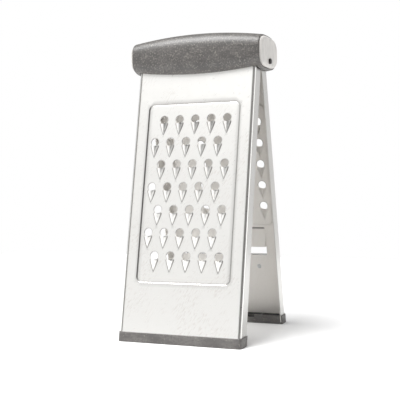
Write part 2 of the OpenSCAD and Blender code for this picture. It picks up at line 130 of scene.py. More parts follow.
class GraterPanelSizes(bpy.types.PropertyGroup):
    """Both folded panels, in millimetres"""
    sheet: size("Sheet", "Thickness of the steel sheet", 0.8)
    fold_depth: size("Fold depth", "Depth of the folded side edges", 13.7)
    fold_radius: size("Fold radius", "Outer radius of the folds", 2)
    fold_gap: size("Fold gap", "Gap between the folded edges when shut", 0.4)
    low: size("Lower edge", "Distance of the lower edge from the floor, along the leg", 4.8)
    over: size("Upper edge", "How far a panel runs up past the hinge axis", 4.5)
    field_step: size("Field depth", "Depth that the grating fields are pressed in", 0.6)
    field_radius: size("Field corners", "Corner radius of the grating fields", 5)
    field_edge: size("Field edge", "Width of the sloping edge of the fields", 0.8)
    field_top: size("Field top", "Distance of the fields below the upper edge", 43.9)
    groove: size("Edge groove", "Depth of the coined line round the fields", 0.18)
    groove_wide: size("Groove width", "Half width of that line", 0.6)
    # Painted shade: the half width and tones below darken the steel's colour along the field's
    # edge, beside the folds and on the folded edges, to stand for their shade; the inner faces
    # take a share of it.
    border_shade_wide: size("Field line", "Half width of the dull line round the fields", 0.85)
    border_shade_tone: number("Field line tone", "How dull that line is", 0.65)
    bend_shade_tone: number("Bend tone", "How dull the lines are that the folding tool leaves", 0.9)
    bend_far: number("Far bend tone", "Share of that on the folded edge", 0.6)
    flange_shade_tone: number("Folded edge tone", "How dull the folded edges are", 0.37)
    inner_line: number("Inner line", "Share of the pressed lines that shows inside", 0.12)
    ear_radius: size("Ear radius", "Radius of the ears on the hinge", 5)
    ear_hole: size("Ear hole", "Radius of the hole for a bush", 2.81)
    trim_gap: size("Trim gap", "Clearance of the front folds to the rear ears", 0.6)


class GraterToothSizes(bpy.types.PropertyGroup):
    """The stretched teeth, in millimetres"""
    hole: size("Hole", "Diameter of the hole above each tooth", 7.4)
    wide: size("Tooth width", "Width of a tooth at its cutting lip", 7.2)
    high: size("Tooth height", "Height of the cutting lip above the field", 2.6)
    lip: size("Lip", "Distance of the cutting lip below the hole's centre", 3.9)
    tip: size("Tooth tip", "Distance of the tip below the hole's centre", 13.9)
    grid: size("Mesh spacing", "Spacing of the mesh along a tooth", 0.55)
    foot_line: size("Foot line", "Half width of the pressed line at a tooth's foot", 0.38)
    foot_depth: size("Foot line depth", "Depth of that line", 0.12)
    # Painted shade: these tones darken the steel's colour along a tooth's foot and round the
    # holes' punched edges.
    foot_shade_tone: number("Foot line tone", "How dull that line is, against the field's line", 0.75)
    rim_shade_tone: number("Punched edge tone", "How dull the edges of the holes are", 0.4)
    drawn: size("Drawn rim", "How far the stretching draws down the hole's lower rim", 0.35)
    lip_share: number("Lip thickness", "Share of the sheet left at the stretched lip", 0.62)
    front_rows: count("Front rows", "Rows of teeth in the front field", 7)
    front_cols: count("Front columns", "Teeth in a front row", 5)
    front_pitch: size("Front pitch", "Spacing of the front rows", 20.4)
    front_side: size("Front field side", "Distance of the front field from the sides", 12.5)
    front_first: size("Front first row", "Lowest holes above the field's lower edge", 23.4)
    front_last: size("Front last row", "Top holes below the field's upper edge", 14.2)
    front_room: size("Front tooth room", "Room beside the outer front teeth", 5.9)
    front_shift: size("Front shift", "Sideways offset of the front teeth", -1.9, -10)
    rear_rows: count("Rear rows", "Rows of teeth in the rear field", 5)
    rear_cols: count("Rear columns", "Columns of teeth in the rear field", 4)
    rear_pitch: size("Rear pitch", "Spacing of the rear rows", 20)
    rear_side: size("Rear field side", "Distance of the rear field from the sides", 5)
    rear_first: size("Rear first row", "Lowest holes above the field's lower edge", 18.6)
    rear_last: size("Rear last row", "Top holes below the field's upper edge", 15.4)
    rear_room: size("Rear tooth room", "Room beside the outer rear teeth", 3.8)


class GraterSlicerSizes(bpy.types.PropertyGroup):
    """The slicing slot and what is fixed round it, in millimetres"""
    wide: size("Slot width", "Width of the slicing slot", 84)
    gap: size("Slot height", "Height of the slot, along the leg", 9)
    ramp: size("Ramp length", "Length of the pressed ramp above the slot", 18)
    drop: size("Ramp drop", "Depth that the ramp is pressed in at the slot", 2)
    below: size("Ramp place", "Distance of the ramp's upper end below the field", 3.5)
    blade_reach: size("Blade reach", "From the blade's bend to its edge", 8)
    blade_over: size("Blade overlap", "How far the edge reaches over the slot", 0.8)
    blade_flat: size("Blade flat", "Length of the blade that lies on the panel", 8)
    rivets: count("Rivets", "Rivets that hold the blade", 4)
    rivet_hole: size("Rivet hole", "Diameter of a rivet's hole", 2.4)
    screws: count("Screws", "Screws that clamp the front panel", 3)
    screw_hole: size("Screw hole", "Diameter of a screw's hole", 3)
    screw_pitch: size("Screw pitch", "Spacing of the clamp screws", 38)
    screw_down: size("Screw place", "Distance of the screws below the upper edge", 3.8)


class GraterHandleSizes(bpy.types.PropertyGroup):
    """The barrel handle and its end caps, in millimetres"""
    end_depth: size("End depth", "Depth of the grip at its ends", 50)
    mid_depth: size("Middle depth", "Depth of the grip at its middle", 54)
    end_high: size("End height", "Height of the grip at its ends", 29.8)
    mid_high: size("Middle height", "Height of the grip at its middle", 39.6)
    back: size("Set back", "How far the grip's centre sits behind the hinge", 3)
    power: number("Squareness", "2 is an ellipse, more is squarer", 3.2)
    edge: size("Edge", "Rounding of the grip's ends", 0.7)
    lip: size("Lip", "Width of the grip that shows round a cap", 1.2)
    wall: size("Wall", "Thickness of the grip over the core at its ends", 2.4)
    core_radius: size("Core corners", "Corner radius of the core", 9.5)
    roof: size("Core roof", "Thickness of the core's roof", 2.6)
    swing_gap: size("Swing gap", "Gap behind the swinging leg", 1.2)
    joint: size("Cap joint", "Fine joint between a cap and the grip", 0.12)
    crown: size("Cap crown", "Crown of a cap's face", 0.5)
    recess: size("Recess", "Diameter of the recess round the pin", 5.2)
    recess_deep: size("Recess depth", "Depth of that recess from the cap's face", 1)
    plug: size("Plug", "Length of a cap's plug inside the core", 6)
    seat: size("Seat", "Clearance of the plug in the core", 0.3)
    strip: size("Strip", "Thickness of the strip on the swinging leg's edge", 1)


class GraterFinishes(bpy.types.PropertyGroup):
    """Colours of the finishes"""
    steel: colour("Panel steel", "Satin stainless sheet", "#F3F2EF")
    steel_hatch: colour("Panel hatch", "Fine finishing strokes in the sheet", "#E7E4E0")
    # Painted shade: the dark colour laid along the pressed lines, folds, folded edges and hole
    # rims to stand for their shade.
    crease: colour("Crease", "Duller steel down in a pressed line", "#3F3C39")
    mill: colour("Mill finish", "Greyer steel of the inner faces, as it was rolled", "#ECEAE7")
    blade: colour("Blade", "Ground blade steel", "#E4E6E8")
    fixing: colour("Fixings", "Plain bright fixings", "#C9CACB")
    pin: colour("Pin", "Dark bright pin steel", "#454342")
    tube: colour("Tube", "Drawn aluminium tube", "#D2D3D5")
    grip: colour("Grip", "Soft grip elastomer", "#54504D")
    # Painted light: the dark colour gives random darker patches and also paints shade into the
    # grain's low pits; the light colour paints highlights on its high spots.
    grip_grain_and_pit_shade: colour("Grip dark", "Deeper grain of the grip", "#3C3936")
    grip_painted_highlight: colour("Grip light", "Bright flecks of the grip's grain", "#78736D")
    # Painted light: the feet's dark colour likewise gives random patches and paints shade into the
    # grain's low pits.
    foot: colour("Feet", "Foot elastomer", "#5B5855")
    foot_grain_and_pit_shade: colour("Feet dark", "Deeper grain of the feet", "#403D3B")
    core: colour("Core", "Dark glass-filled nylon", "#3B3A39")
    cap: colour("Caps", "Pale satin moulded caps", "#D0CDC9")
    bush: colour("Bushes", "Natural acetal", "#EDEAE2")
    floor: colour("Floor", "Pale floor", "#F0F0F0")


class GraterStage(bpy.types.PropertyGroup):
    """Camera and lights. Angles are in degrees."""
    azimuth: number("Azimuth", "Camera's angle round the object, in degrees", 22)
    elevation: number("Elevation", "Camera's angle above the floor, in degrees", 1.16)
    distance: size("Distance", "Camera's distance from its target, in millimetres", 732.6)
    target: size("Target height", "Height that the camera looks at, in millimetres", 126.6)
    lens: size("Lens", "Focal length, in millimetres", 71.9)
    roll: number("Roll", "Camera's roll, in degrees", -0.86)
    shift_x: number("Shift across", "Shift of the view across", -0.0117)
    shift_y: number("Shift up", "Shift of the view up", -0.0167)
    horizon: number("Low walls", "Strength of the studio's white walls at the floor", 1.0)
    sky: number("High walls", "Strength of the white walls from 30 degrees up", 0.75)
    flag_at: number("Flag place", "Azimuth of the dark flag on the right, in degrees", 38)
    dim: number("Right flag", "Share of the light that the dark flag on the right leaves", 0.12)
    back: number("Left rear flag", "Share that the dark flag behind on the left leaves", 0.15)
    side: number("Right rear wall", "Share of the light behind on the right", 0.92)
    card: number("Left card", "How much brighter the card on the left is", 1.5)
    right: number("Right card", "How much brighter the card on the right is", 1.8)
    key: number("Top light", "Strength of the soft light overhead", 3.9)
    wide: number("Light width", "Width of that light, in degrees", 36)


def join(tree, node, links):
    """Joins sources to a node's sockets."""
    for name, source in links.items():
        tree.links.new(source, node.inputs[name])


def add_node(tree, kind, settings=None, links=None):
    """Adds a node. Settings name its sockets or properties, and links name sockets to join to."""
    node = tree.nodes.new(kind)
    for name, value in (settings or {}).items():
        if isinstance(name, int) or name in node.inputs:
            node.inputs[name].default_value = value
        else:
            setattr(node, name, value)
    join(tree, node, links or {})
    return node


def new_material(name, surface):
    """A material whose shader has these plain values. Returns it with its tree and shader."""
    material = bpy.data.materials.new(name)
    material.use_nodes = True
    tree = material.node_tree
    shader = tree.nodes["Principled BSDF"]
    for socket, value in surface.items():
        shader.inputs[socket].default_value = value
    return material, tree, shader


def grain(tree, cell_mm, detail=3.0, long=(1, 1, 1), turn=(0, 0, 0), roughness=0.5):
    """Noise whose cells are about cell_mm across, drawn out by long after a turn."""
    place = add_node(tree, "ShaderNodeTexCoord")
    turned = add_node(tree, "ShaderNodeMapping",
                      {"vector_type": "TEXTURE", "Rotation": turn, "Scale": long},
                      {"Vector": place.outputs["Object"]})
    return add_node(tree, "ShaderNodeTexNoise",
                    {"Scale": 1 / (cell_mm * MM), "Detail": detail, "Roughness": roughness},
                    {"Vector": turned.outputs["Vector"]})


def satin_stainless(f):
    """18/8 stainless sheet, satin finished outside: even and pale, with faint slanting strokes of
    the finishing belt. Painted shade darkens the pressed lines, the folds, the folded edges and
    the rims of the holes. Inside it is left as rolled, which is a little greyer and far more matt.
    The strokes are really under 0.1 mm wide and are drawn coarser, to show."""
    material, tree, shader = new_material("satin_stainless_sheet",
                                          {"Metallic": 1.0, "Roughness": 0.4})
    slant = math.radians(32)
    strokes = grain(tree, 0.8, detail=1.5, long=(1, 1, 20), turn=(0, slant, 0), roughness=0.45)
    patches = grain(tree, 26, detail=2.0)
    inner_matt = 0.52
    drawn, where = [
        add_node(tree, "ShaderNodeMapRange",
                 {"From Min": low, "From Max": high, "interpolation_type": "SMOOTHSTEP"},
                 {"Value": pattern.outputs["Fac"]}).outputs["Result"]
        for pattern, low, high in ((strokes, 0.5, 0.7), (patches, 0.42, 0.62))]
    share = add_node(tree, "ShaderNodeMath", {"operation": "MULTIPLY"}, {0: drawn, 1: where})
    tone = add_node(tree, "ShaderNodeMix", {"data_type": "RGBA", 6: f.steel, 7: f.steel_hatch},
                    {0: share.outputs[0]})
    inner, line = [add_node(tree, "ShaderNodeAttribute", {"attribute_name": name}).outputs["Fac"]
                   for name in ("inner", "crease")]
    # Greyer mill tone on the inner faces, then painted shade: a dark colour laid along the pressed
    # lines, folds, folded edges and hole rims to stand for their shade.
    for place, duller in ((inner, f.mill), (line, f.crease)):
        tone = add_node(tree, "ShaderNodeMix", {"data_type": "RGBA", 7: duller},
                        {0: place, 6: tone.outputs[2]})
    satin = add_node(tree, "ShaderNodeMapRange", {"To Min": 0.24, "To Max": 0.36},
                     {"Value": strokes.outputs["Fac"]})
    gloss = add_node(tree, "ShaderNodeMath", {"operation": "MULTIPLY_ADD", 1: inner_matt},
                     {0: inner, 2: satin.outputs["Result"]})
    relief = add_node(tree, "ShaderNodeBump", {"Distance": 0.005 * MM},
                      {"Height": strokes.outputs["Fac"]})
    join(tree, shader, {"Base Color": tone.outputs[2], "Roughness": gloss.outputs[0],
                        "Normal": relief.outputs["Normal"]})
    return material


def spark_eroded_elastomer(name, base, dark, light, flecks):
    """Soft thermoplastic elastomer from a spark-eroded mould: a soft sheen over a pebbled grain
    with broad darker patches at random. Painted shade darkens the grain's low pits, and painted
    highlights lighten its high spots as pale flecks. The real grain is finer and is drawn to show."""
    cell_mm = 1.3
    material, tree, shader = new_material(name, {"Roughness": 0.46, "IOR": 1.52,
                                                 "Specular IOR Level": 0.95})
    pebbles = grain(tree, cell_mm, detail=2.0, roughness=0.6)
    cloud = grain(tree, cell_mm * 6, detail=4.0, long=(2.2, 1, 1), roughness=0.6)
    # Random darker patches from the cloud; painted shade where the pebbles are low; painted
    # highlights where they are high.
    deep, pit_shade, bright = [
        add_node(tree, "ShaderNodeMapRange",
                 {"From Min": low, "From Max": high, "interpolation_type": "SMOOTHSTEP"},
                 {"Value": pattern.outputs["Fac"]}).outputs["Result"]
        for pattern, low, high in ((cloud, 0.36, 0.64), (pebbles, 0.48, 0.36),
                                   (pebbles, flecks, flecks + 0.1))]
    shade = add_node(tree, "ShaderNodeMath", {"operation": "MAXIMUM"}, {0: deep, 1: pit_shade})
    body = add_node(tree, "ShaderNodeMix", {"data_type": "RGBA", 6: base, 7: dark},
                    {0: shade.outputs[0]})
    # Painted highlight: the light colour laid on the pebbles' high spots.
    tone = add_node(tree, "ShaderNodeMix", {"data_type": "RGBA", 7: light},
                    {0: bright, 6: body.outputs[2]})
    relief = add_node(tree, "ShaderNodeBump", {"Distance": 0.25 * MM},
                      {"Height": pebbles.outputs["Fac"]})
    join(tree, shader, {"Base Color": tone.outputs[2], "Normal": relief.outputs["Normal"]})
    return material


def mottle(tree, shader, base, pattern, height, share_left, span, depth_mm):
    """Darkens a colour where a pattern rises over a span, and lifts the surface by a height."""
    share = add_node(tree, "ShaderNodeMapRange",
                     {"From Min": span[0], "From Max": span[1],
                      "interpolation_type": "SMOOTHSTEP"}, {"Value": pattern.outputs["Fac"]})
    darker = [c * share_left for c in base[:3]] + [1.0]
    tone = add_node(tree, "ShaderNodeMix", {"data_type": "RGBA", 6: base, 7: darker},
                    {0: share.outputs["Result"]})
    relief = add_node(tree, "ShaderNodeBump", {"Distance": depth_mm * MM},
                      {"Height": height.outputs["Fac"]})
    join(tree, shader, {"Base Color": tone.outputs[2], "Normal": relief.outputs["Normal"]})


def ground_metal(name, base, roughness, lay_mm, long):
    """Ground or turned metal: fine parallel lines from the wheel, which spread its gloss."""
    material, tree, shader = new_material(name, {"Metallic": 1.0, "Roughness": roughness})
    lines = grain(tree, lay_mm, long=long, roughness=0.6)
    mottle(tree, shader, base, lines, lines, share_left=0.78, span=(0.4, 0.75),
           depth_mm=0.012)
    return material


def moulded_plastic(name, base, roughness, cell_mm, depth_mm):
    """Injection-moulded plastic: an even colour with a very light mould texture and faint flow."""
    material, tree, shader = new_material(name, {"Roughness": roughness, "IOR": 1.46})
    flow = grain(tree, cell_mm * 9, long=(1, 1, 2.5))
    fine = grain(tree, cell_mm, detail=4.0)
    mottle(tree, shader, base, flow, fine, share_left=0.84, span=(0.35, 0.7),
           depth_mm=depth_mm)
    return material


def make_finishes(f):
    """The material of each slot in the record."""
    return {
        "panel_steel": satin_stainless(f),
        "blade_steel": ground_metal("ground_blade_steel", f.blade, 0.24, 0.5, (20, 1, 1)),
        "rivet_steel": ground_metal("turned_fixing_steel", f.fixing, 0.34, 0.6, (1, 1, 1)),
        "pin_steel": ground_metal("drawn_pin_steel", f.pin, 0.38, 0.5, (12, 1, 1)),
        "spacer_metal": ground_metal("drawn_aluminium_tube", f.tube, 0.4, 0.5, (16, 1, 1)),
        # The grip and the feet carry painted shade in their grain's pits and painted highlights on
        # its high spots.
        "grip_rubber": spark_eroded_elastomer("moulded_grip_elastomer", f.grip, f.grip_grain_and_pit_shade,
                                              f.grip_painted_highlight, 0.56),
        "foot_rubber": spark_eroded_elastomer("moulded_foot_elastomer", f.foot, f.foot_grain_and_pit_shade,
                                              f.grip_painted_highlight, 0.62),
        "core_plastic": moulded_plastic("moulded_core_nylon", f.core, 0.55, 0.8, 0.03),
        "carrier_plastic": moulded_plastic("moulded_carrier_nylon", f.core, 0.6, 0.8, 0.03),
        "cap_plastic": moulded_plastic("moulded_satin_abs_cap", f.cap, 0.42, 0.7, 0.02),
        "bush_plastic": moulded_plastic("moulded_acetal_bush", f.bush, 0.35, 0.7, 0.01),
    }


def new_object(name, data):
    """An object of the scene with this data."""
    made = bpy.data.objects.new(name, data)
    bpy.context.scene.collection.objects.link(made)
    return made


def add_piece(name, mesh, body, slot, nodes):
    """Links a mesh as a piece that rides on a body and stands for CAD nodes."""
    piece = new_object(name, mesh)
    mesh.materials.clear()
    if not FINISHES:
        FINISHES.update(make_finishes(bpy.context.scene.grater_finishes))
    mesh.materials.append(FINISHES[slot])
    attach(piece, body)
    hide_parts(*nodes)
    return piece


def settle(piece, angle=38):
    """Applies a piece's modifiers, then shades it smooth but for its real edges."""
    graph = bpy.context.evaluated_depsgraph_get()
    mesh = bpy.data.meshes.new_from_object(piece.evaluated_get(graph),
                                           preserve_all_data_layers=True, depsgraph=graph)
    piece.modifiers.clear()
    piece.data = mesh
    mesh.shade_smooth()
    mesh.set_sharp_from_angle(angle=math.radians(angle))


def smoothstep(value):
    """A soft step from 0 at 0 to 1 at 1."""
    t = min(1.0, max(0.0, value))
    return t * t * (3 - 2 * t)


def cells(low, high, side):
    """Numbers of the cells with this side that a stretch from low to high touches."""
    return range(int(low // side), int(high // side) + 1)


def spread(number_of, pitch):
    """Even places at this pitch about a middle."""
    return [(i - (number_of - 1) / 2) * pitch for i in range(number_of)]


def pin_depth():
    """How far the hinge axis lies in from a panel's outer face."""
    p = bpy.context.scene.grater_panels
    return p.fold_depth + p.fold_gap / 2


def half_base():
    """How far a panel's outer face would stand from the middle at the floor."""
    return (HINGE_UP * math.sin(LEAN) + pin_depth()) / math.cos(LEAN)


def leg_matrix(rear):
    """From a leg's own frame in millimetres to the row frame in metres."""
    place = Matrix.Translation((0, -half_base(), 0)) @ Matrix.Rotation(-LEAN, 4, "X")
    side = Matrix.Scale(-1, 4, (0, 1, 0)) if rear else Matrix.Identity(4)
    return Matrix.Scale(MM, 4) @ side @ place


class Leg:
    """One folded panel in its flat pattern: u runs round its section and s up along the leg."""

    def __init__(self, rear):
        scene = bpy.context.scene
        self.p, self.t, self.k = scene.grater_panels, scene.grater_teeth, scene.grater_slicer
        self.rear = rear
        self.pin_in = pin_depth()
        self.pin_up = half_base() * math.sin(LEAN) + HINGE_UP * math.cos(LEAN)
        self.high = self.pin_up + self.p.over
        self.flat = PANEL_WIDE / 2 - self.p.fold_radius
        self.turn = math.pi / 2 * self.p.fold_radius
        name = "rear_" if rear else "front_"
        for key in ("rows", "cols", "pitch", "side", "first", "last", "room"):
            setattr(self, key, getattr(self.t, name + key))
        self.shift = 0.0 if rear else self.t.front_shift
        self.field_w = PANEL_WIDE - 2 * self.side
        self.field_h = self.first + (self.rows - 1) * self.pitch + self.last
        self.field_low = self.high - self.p.field_top - self.field_h
        spare = self.field_w - self.t.wide - 2 * self.room
        self.across = spare / (self.cols - (1 if rear else 0.5))
        self.near = {}
        for hole_u, hole_s in self.holes():
            for a in cells(hole_u - NEAR, hole_u + NEAR, CELL):
                for b in cells(hole_s - self.t.tip - PAST_TIP, hole_s + self.t.hole, CELL):
                    self.near.setdefault((a, b), []).append((hole_u, hole_s))
        self.ramp_high = self.field_low - self.k.below
        self.slot_high = self.ramp_high - self.k.ramp
        self.slot_low = self.slot_high - self.k.gap

    def side_u(self, depth):
        """Where a depth on the folded edge lies in the flat pattern."""
        return self.flat + self.turn + depth - self.p.fold_radius

    def holes(self):
        """Centres of all the holes. Front rows are staggered, and so are the rear columns."""
        start = self.field_low + self.first
        if self.rear:
            return [(((self.cols - 1) / 2 - col) * self.across,
                     start + (row + col % 2 / 2) * self.pitch)
                    for col in range(self.cols) for row in range(self.rows - col % 2)]
        return [(self.shift + (col - (self.cols - 1) / 2 + (0.25, -0.25)[row % 2]) * self.across,
                 start + row * self.pitch) for row in range(self.rows) for col in range(self.cols)]

    def offsets(self, u, s):
        """How far a place lies across and down from each hole near it."""
        return [(abs(u - hole_u), hole_s - s) for hole_u, hole_s in
                self.near.get((u // CELL, s // CELL), ())]

    def half_width(self, down):
        """Half the width of a tooth this far below its hole's centre."""
        share = min(1.0, max(0.0, (down - self.t.lip) / (self.t.tip - self.t.lip)))
        return self.t.wide / 2 * (1 - share) ** TOOTH_TAPER

    def rise(self, down, start):
        """A soft step up to the lip, from this share of the lip's distance."""
        return smoothstep((down - self.t.lip * start) / (self.t.lip * (1 - start)))

    def raised(self, u, s):
        """Height of the stretched metal of a tooth."""
        best = 0.0
        for across, down in self.offsets(u, s):
            half = self.half_width(down)
            if across < half:
                arch = (1 - (across / half) ** 2) ** TOOTH_ARCH
                high = self.t.high * half / (self.t.wide / 2)
                best = max(best, high * arch * self.rise(down, TOOTH_START))
        return best

    def foot_line(self, u, s):
        """How deep the pressed line at the foot of a tooth is, from 0 to 1."""
        best = 0.0
        for across, down in self.offsets(u, s):
            away = math.hypot(across - self.half_width(down), max(0.0, down - self.t.tip))
            line = math.exp(-(away / self.t.foot_line) ** 2)
            best = max(best, line * self.rise(down, LINE_START))
        return best

    def field_inset(self, u, s):
        """Distance inside the edge of the pressed field. It is negative outside."""
        r = self.p.field_radius
        dx = abs(u) - (self.field_w / 2 - r)
        ds = abs(s - self.field_low - self.field_h / 2) - (self.field_h / 2 - r)
        return r - math.hypot(max(dx, 0), max(ds, 0)) - min(max(dx, ds), 0)

    def sunk(self, u, s):
        """How far the sheet lies in from its plain outer face."""
        inset = self.field_inset(u, s)
        edge = self.p.field_edge
        depth = self.p.field_step * smoothstep(inset / edge + 0.5)
        depth += self.p.groove * math.exp(-(inset / self.p.groove_wide) ** 2)
        depth += self.t.foot_depth * self.foot_line(u, s) - self.raised(u, s)
        if self.rear and self.slot_low < s < self.ramp_high:
            cheek = smoothstep((self.k.wide / 2 + self.p.sheet - abs(u)) / self.p.sheet)
            depth += self.k.drop * cheek * (self.ramp_high - s) / self.k.ramp
        return depth

    def rim_shade_share(self, u, s):
        """How much painted shade shows round the punched edge of a hole. The raised lip has none.
        """
        best = 0.0
        for across, down in self.offsets(u, s):
            away = math.hypot(across, down) - self.t.hole / 2
            level = 1 - smoothstep(down / self.t.lip * 2)
            best = max(best, level * math.exp(-(away / self.t.foot_line) ** 2))
        return self.t.rim_shade_tone * best

    def bend_shade_share(self, u):
        """How much painted shade shows along both sides of a fold and on the folded edge."""
        beyond = abs(u) - self.flat
        wide = self.p.groove_wide
        far = self.p.bend_far * math.exp(-((beyond - self.turn) / wide) ** 2)
        lines = self.p.bend_shade_tone * (math.exp(-(beyond / wide) ** 2) + far)
        return max(lines, self.p.flange_shade_tone * smoothstep((beyond - self.turn) / wide))

    def crease(self, u, s, inside):
        """How much painted shade shows along the pressed lines, the folds, the folded edges, the
        holes' rims and the ramp's upper line, on the outer face, or on the inner one.
        """
        ramp = 0.0
        if self.rear and abs(u) < self.k.wide / 2:
            ramp = math.exp(-((s - self.ramp_high) / self.p.groove_wide) ** 2)
        away = self.field_inset(u, s) / self.p.border_shade_wide
        border = self.p.border_shade_tone * math.exp(-away ** 2)
        pressed = max(border, self.bend_shade_share(u), self.t.foot_shade_tone * self.foot_line(u, s))
        return max(ramp, self.rim_shade_share(u, s), pressed * (self.p.inner_line if inside else 1.0))

    def place(self, u, s):
        """A point of the outer face in the leg's own frame."""
        side = 1 if u > 0 else -1
        beyond = abs(u) - self.flat
        r = self.p.fold_radius
        if beyond <= 0:
            return Vector((u, self.sunk(u, s), s))
        if beyond < self.turn:
            angle = beyond / r
            return Vector((side * (self.flat + r * math.sin(angle)), r - r * math.cos(angle), s))
        return Vector((side * PANEL_WIDE / 2, r + beyond - self.turn, s))

    def outline(self):
        """The panel's outline in the flat pattern, anticlockwise."""
        p = self.p
        edge = self.side_u(p.fold_depth)
        if not self.rear:
            cut_low = self.pin_up - p.ear_radius - p.trim_gap
            cut = self.side_u(self.pin_in - p.ear_radius - p.trim_gap)
            half = [(edge, p.low), (edge, cut_low), (cut, cut_low), (cut, self.high)]
        else:
            centre = self.side_u(self.pin_in)
            start = -math.pi / 2 - math.asin((self.pin_in - p.fold_depth) / p.ear_radius)
            end = math.pi - math.asin(0.5)
            arc = [start + (end - start) * i / EAR_STEPS for i in range(EAR_STEPS + 1)]
            ear = [(centre + p.ear_radius * math.cos(a), self.pin_up + p.ear_radius * math.sin(a))
                   for a in arc]
            neck = self.side_u(p.fold_radius + p.sheet)
            half = [(edge, p.low)] + ear + [(neck, ear[-1][1]), (neck, self.high)]
        return half + [(-u, s) for u, s in reversed(half)]

    def round_holes(self):
        """Centre, radius, steps and drawn rim of every round hole."""
        k = self.k
        found = [(u, s, self.t.hole / 2, HOLE_STEPS, self.t.drawn) for u, s in self.holes()]
        if self.rear:
            low = self.slot_low - k.blade_reach + k.blade_over - k.blade_flat / 2
            pitch = (k.wide - 2 * k.blade_flat) / (k.rivets - 1)
            found += [(u, low, k.rivet_hole / 2, SMALL_STEPS, 0) for u in spread(k.rivets, pitch)]
            found += [(side * self.side_u(self.pin_in), self.pin_up, self.p.ear_hole, BUSH_STEPS,
                       0) for side in (-1, 1)]
        else:
            found += [(u, self.high - k.screw_down, k.screw_hole / 2, SMALL_STEPS, 0)
                      for u in spread(k.screws, k.screw_pitch)]
        return found


class Pattern:
    """Points and lines of a flat pattern. A loose point too near another is left out."""

    def __init__(self, cell):
        self.cell, self.points, self.lines, self.taken = cell, [], [], set()

    def key(self, u, s):
        """The cell that a point lies in."""
        return round(u / self.cell), round(s / self.cell)

    def line(self, points, closed=False):
        """Adds points joined by lines."""
        first = len(self.points)
        for u, s in points:
            self.points.append(Vector((u, s)))
            self.taken.add(self.key(u, s))
        last = len(points) - (0 if closed else 1)
        self.lines += [(first + i, first + (i + 1) % len(points)) for i in range(last)]

    def loose(self, u, s):
        """Adds a point unless another is near."""
        a, b = self.key(u, s)
        if any((a + i, b + j) in self.taken for i in (-1, 0, 1) for j in (-1, 0, 1)):
            return
        self.points.append(Vector((u, s)))
        self.taken.add((a, b))


def steps_between(low, high, spacing):
    """Even places from low to high, about spacing apart."""
    number_of = max(1, round((high - low) / spacing))
    return [low + (high - low) * i / number_of for i in range(number_of + 1)]


def corner_point(middle, halves, r, quarter, share):
    """A point on a rounded rectangle: share goes from 0 to 1 round the corner of a quarter."""
    across, up = CORNERS[quarter % 4]
    a = math.pi / 2 * (quarter + share)
    return (middle[0] + across * halves[0] + r * math.cos(a),
            middle[1] + up * halves[1] + r * math.sin(a))


def drawn_circle(u, s, r, drawn, steps, turn=0):
    """Points of a circle whose lower half is drawn down a little."""
    turns = [2 * math.pi * (i + turn) / steps for i in range(steps)]
    return [(u + r * math.cos(a), s + (r + drawn * (a > math.pi)) * math.sin(a)) for a in turns]


def field_line(leg, inset, spacing):
    """A rounded rectangle at this inset from the field's edge."""
    r = leg.p.field_radius
    form = ((0, leg.field_low + leg.field_h / 2), (leg.field_w / 2 - r, leg.field_h / 2 - r),
            r - inset)
    points = []
    for quarter in range(4):
        points += [corner_point(*form, quarter, i / CORNER_STEPS) for i in range(CORNER_STEPS)]
        start = Vector(corner_point(*form, quarter, 1))
        end = Vector(corner_point(*form, quarter + 1, 0))
        number_of = max(1, round((end - start).length / spacing))
        points += [tuple(start.lerp(end, i / number_of)) for i in range(number_of)]
    return points


def tooth_lines(pattern, leg, hole_u, hole_s):
    """Lines that follow the outline of a tooth, and the points in it and round its hole."""
    t = leg.t
    for away in (-t.foot_line, 0.0, t.foot_line):
        share = 1 - (max(-away, 0.0) / (t.wide / 2)) ** (1 / TOOTH_TAPER)
        end = t.lip + share * (t.tip - t.lip) + max(away, 0.0)
        side = [(leg.half_width(down) + away, hole_s - down)
                for down in steps_between(t.lip * LINE_START, end, t.grid)[:-1]]
        pattern.line([(hole_u - wide, s) for wide, s in side] + [(hole_u, hole_s - end)]
                     + [(hole_u + wide, s) for wide, s in reversed(side)])
    for more in (0.4, 0.9):  # mm outside the hole
        for point in drawn_circle(hole_u, hole_s, t.hole / 2 + more, t.drawn, HOLE_STEPS, 0.5):
            pattern.loose(*point)
    for down in steps_between(0, t.tip, t.grid):
        half = leg.half_width(down)
        for share in (-0.78, -0.52, -0.26, 0, 0.26, 0.52, 0.78):  # of half the tooth's width
            if math.hypot(share * half, down) > t.hole / 2 + t.drawn + LEAST:
                pattern.loose(hole_u + share * half, hole_s - down)
        for side in (-1, 1):
            pattern.loose(hole_u + side * (half + 2.6 * t.foot_line), hole_s - down)


def slot_lines(pattern, leg, spacing=1.5, clear=0.05):
    """The slot, both sides of the ramp above it, and the line that the ramp starts from."""
    wide = leg.k.wide / 2 + leg.p.sheet
    pattern.line([(-wide, leg.slot_low), (wide, leg.slot_low), (wide, leg.slot_high),
                  (-wide, leg.slot_high)], closed=True)
    ends = (leg.slot_high + clear, leg.ramp_high - 2.5 * leg.p.groove_wide)
    for half in (leg.k.wide / 2, wide):
        for side in (-1, 1):
            pattern.line([(side * half, s) for s in steps_between(*ends, spacing)])
    for up in (-2, -1, 0, 1, 2):
        level = leg.ramp_high + up * leg.p.groove_wide
        pattern.line([(u, level) for u in steps_between(-wide + clear, wide - clear, spacing)])


